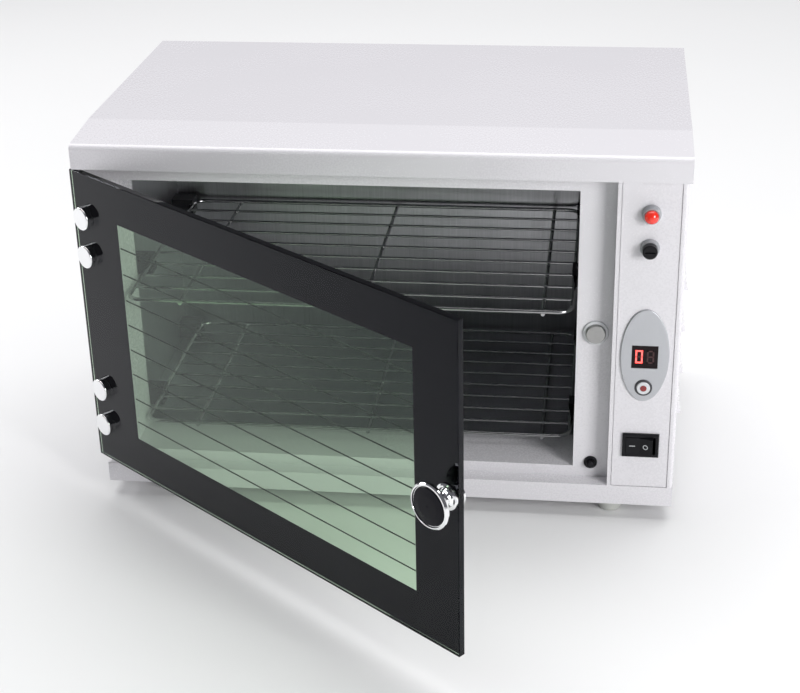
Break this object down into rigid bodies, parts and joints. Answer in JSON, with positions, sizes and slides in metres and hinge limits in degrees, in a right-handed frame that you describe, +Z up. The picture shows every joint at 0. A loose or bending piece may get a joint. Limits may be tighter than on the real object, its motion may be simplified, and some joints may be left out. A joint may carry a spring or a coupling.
{
  "type": "ultraviolet sterilizer cabinet",
  "caption": "Bench-top UV sterilizer cabinet with a hinged glass door, wire racks, a lamp and a timer panel.",
  "frame": {"origin": "middle of the steel base's underside; the rubber feet reach 10 mm below it", "axes": "+X to the right, +Y to the back, +Z up; the front and its door face -Y"},
  "size_m": [0.348, 0.3996, 0.2293],
  "materials": {
    "white_enamel": "powder-coated steel sheet, satin gloss",
    "polished_liner": "bright polished stainless sheet",
    "chrome_wire": "bright plated wire",
    "chrome_fittings": "bright plated fittings",
    "door_glass": "4 mm float glass with a printed black border",
    "black_plastic": "moulded black plastic",
    "grey_plastic": "moulded grey plastic",
    "white_plastic": "moulded white plastic",
    "clear_pad": "thin clear plastic pad",
    "silver_plastic": "silver-grey moulded plate",
    "display_acrylic": "dark clear acrylic over red digits",
    "red_lens": "clear red plastic",
    "black_insert": "dark inset disc",
    "magnet_grey": "plated magnet cup",
    "foot_rubber": "pale moulded rubber",
    "zinc_steel": "zinc-plated steel",
    "lamp_glass": "clear quartz tube",
    "cap_aluminium": "pressed aluminium lamp caps",
    "fuse_glass": "glass cartridge fuse",
    "pin_brass": "brass contact pins",
    "circuit_board": "green circuit board",
    "ballast_case": "grey painted steel case"
  },
  "bodies": {
    "cabinet": {"back_panel": "white_enamel", "body_leaf_screws": "zinc_steel", "button_collar": "white_plastic", "catch_nut": "zinc_steel", "catch_ring": "white_plastic", "control_panel": "white_enamel", "display_module": "black_plastic", "display_window": "display_acrylic", "door_switch_body": "black_plastic", "feet": "foot_rubber", "foot_screws": "zinc_steel", "front_frame": "white_enamel", "fuse_holder": "grey_plastic", "fuse_link": "fuse_glass", "inlet_pins": "pin_brass", "lamp_ballast": "ballast_case", "lamp_holder_left": "white_plastic", "lamp_holder_right": "white_plastic", "lamp_reflector": "polished_liner", "liner_ceiling": "polished_liner", "liner_floor": "polished_liner", "liner_walls": "polished_liner", "lower_body_leaf": "chrome_fittings", "lower_hinge_pin": "chrome_fittings", "lower_rack_clips": "black_plastic", "magnet_catch": "magnet_grey", "outer_shell": "white_enamel", "oval_plate": "silver_plastic", "pilot_bezel": "grey_plastic", "pilot_lens": "red_lens", "power_inlet": "black_plastic", "rear_screws": "zinc_steel", "rocker_body": "black_plastic", "terminal_block": "black_plastic", "timer_board": "circuit_board", "top_cover": "white_enamel", "upper_body_leaf": "chrome_fittings", "upper_hinge_pin": "chrome_fittings", "upper_rack_clips": "black_plastic"},
    "door": {"upper_door_leaf": "chrome_fittings", "lower_door_leaf": "chrome_fittings", "hinge_pads": "clear_pad", "hinge_screw_caps": "chrome_fittings", "hinge_screws": "zinc_steel", "door_glass": "door_glass", "pull_base": "chrome_fittings", "door_pull": "chrome_fittings", "pull_insert": "black_insert", "pull_screw": "zinc_steel", "strike_plate": "chrome_fittings"},
    "rocker": {"rocker_paddle": "black_plastic"},
    "timer_button": {"panel_button": "silver_plastic", "button_lens": "red_lens"},
    "door_switch": {"door_switch_plunger": "black_plastic"},
    "fuse_knob": {"fuse_cap": "black_plastic"},
    "upper_shelf": {"upper_rack": "chrome_wire"},
    "lower_shelf": {"lower_rack": "chrome_wire"},
    "lamp": {"uv_tube": "lamp_glass", "tube_caps": "cap_aluminium"}
  },
  "joints": [
    {"name": "door_hinge", "type": "hinge", "parent": "cabinet", "child": "door", "pos_m": [-0.1705, -0.0934, 0.1085], "axis": [0, 0, -1], "range_deg": [-38, 72]},
    {"name": "rocker_tilt", "type": "hinge", "parent": "cabinet", "child": "rocker", "pos_m": [0.1503, -0.0995, 0.0403], "axis": [0, 0, 1], "range_deg": [0, 20]},
    {"name": "panel_button_press", "type": "slide", "parent": "cabinet", "child": "timer_button", "axis": [0, 1, 0], "range_m": [0, 0.0008], "stiffness_N_per_m": 300, "springref_m": -0.001},
    {"name": "door_switch_press", "type": "slide", "parent": "cabinet", "child": "door_switch", "axis": [0, 1, 0], "range_m": [0, 0.0025], "stiffness_N_per_m": 200, "springref_m": -0.001},
    {"name": "fuse_cap_turn", "type": "hinge", "parent": "cabinet", "child": "fuse_knob", "pos_m": [0.1503, -0.1006, 0.163], "axis": [0, 1, 0], "range_deg": [0, 90]},
    {"name": "upper_rack_slide", "type": "slide", "parent": "cabinet", "child": "upper_shelf", "axis": [0, -1, 0], "range_m": [0, 0.012]},
    {"name": "lower_rack_slide", "type": "slide", "parent": "cabinet", "child": "lower_shelf", "axis": [0, -1, 0], "range_m": [0, 0.03]},
    {"name": "uv_tube_turn", "type": "hinge", "parent": "cabinet", "child": "lamp", "pos_m": [-0.0226, 0, 0.176], "axis": [1, 0, 0], "range_deg": [0, 90]}
  ]
}
